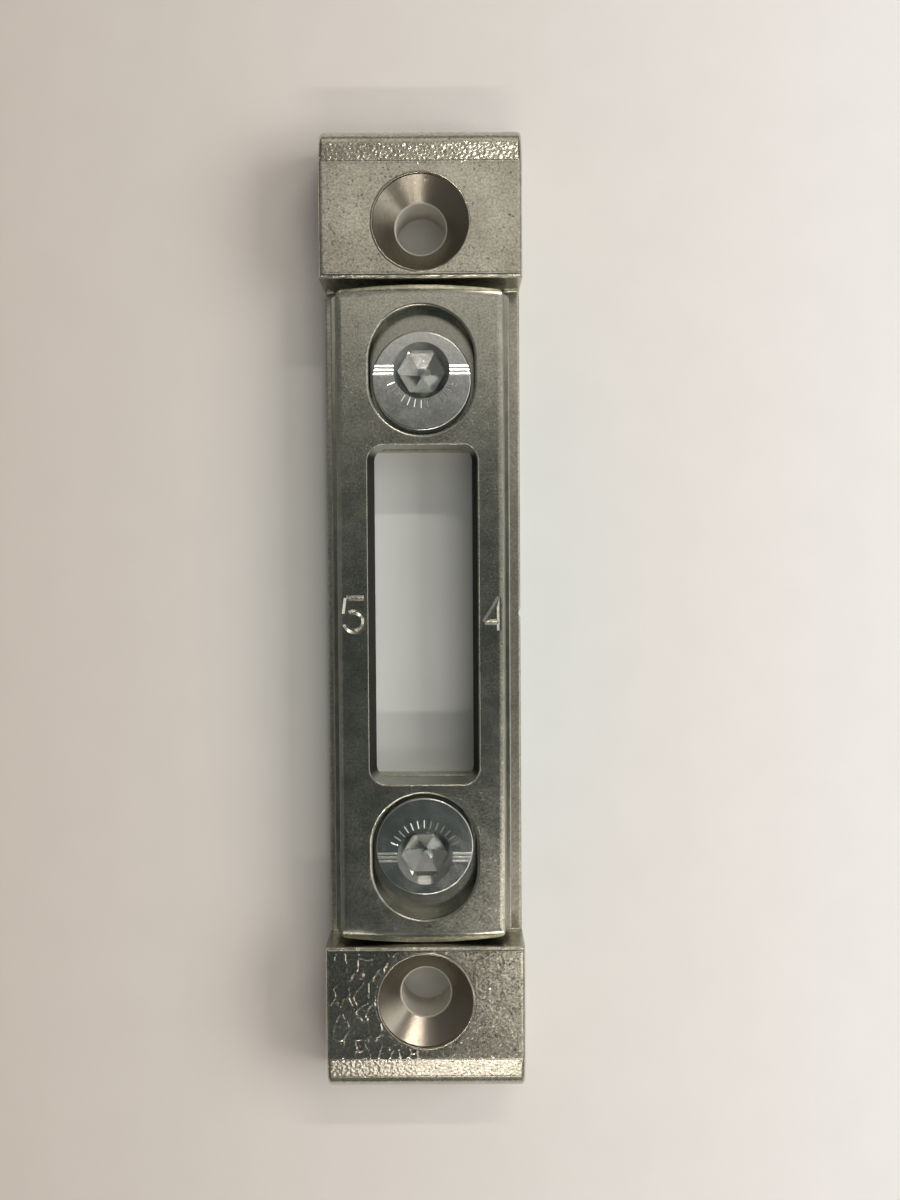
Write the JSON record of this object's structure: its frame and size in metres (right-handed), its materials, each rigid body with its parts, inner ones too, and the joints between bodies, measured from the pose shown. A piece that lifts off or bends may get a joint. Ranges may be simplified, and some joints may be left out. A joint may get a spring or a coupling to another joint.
{
  "type": "adjustable door strike plate",
  "caption": "Adjustable door strike plate: a cast base with countersunk end blocks carries a slotted insert with a bolt opening, shifted sideways by hexagon-socket eccentrics.",
  "frame": {"origin": "middle of the base's flat back", "axes": "+Z out of the face towards the door, +Y along the plate, +X across it towards the right rail"},
  "size_m": [0.0202, 0.0972, 0.007],
  "materials": {
    "tumbled_zinc": "tumbled zinc die casting, matt with fine sparkle",
    "satin_zinc": "satin zinc die casting with bright edges",
    "bright_steel": "bright zinc-plated turned steel"
  },
  "bodies": {
    "base": {"base_plate": "tumbled_zinc"},
    "insert": {"sliding_insert": "satin_zinc"},
    "upper_adjuster": {"upper_eccentric": "bright_steel"},
    "lower_adjuster": {"lower_eccentric": "bright_steel"}
  },
  "joints": [
    {"name": "insert_slide", "type": "slide", "parent": "base", "child": "insert", "axis": [1, 0, 0], "range_m": [-0.00105, 0.00105]},
    {"name": "upper_eccentric_turn", "type": "hinge", "parent": "base", "child": "upper_adjuster", "pos_m": [0, 0.0246, 0.002], "axis": [0, 0, 1], "range_deg": [-90.5, 90.5]},
    {"name": "lower_eccentric_turn", "type": "hinge", "parent": "base", "child": "lower_adjuster", "pos_m": [0, -0.0246, 0.002], "axis": [0, 0, 1], "range_deg": [-90.5, 90.5]}
  ],
  "couplings": [
    {"joint": "upper_eccentric_turn", "follows": "insert_slide", "rad_per_m": 1496},
    {"joint": "lower_eccentric_turn", "follows": "insert_slide", "rad_per_m": -1496}
  ]
}
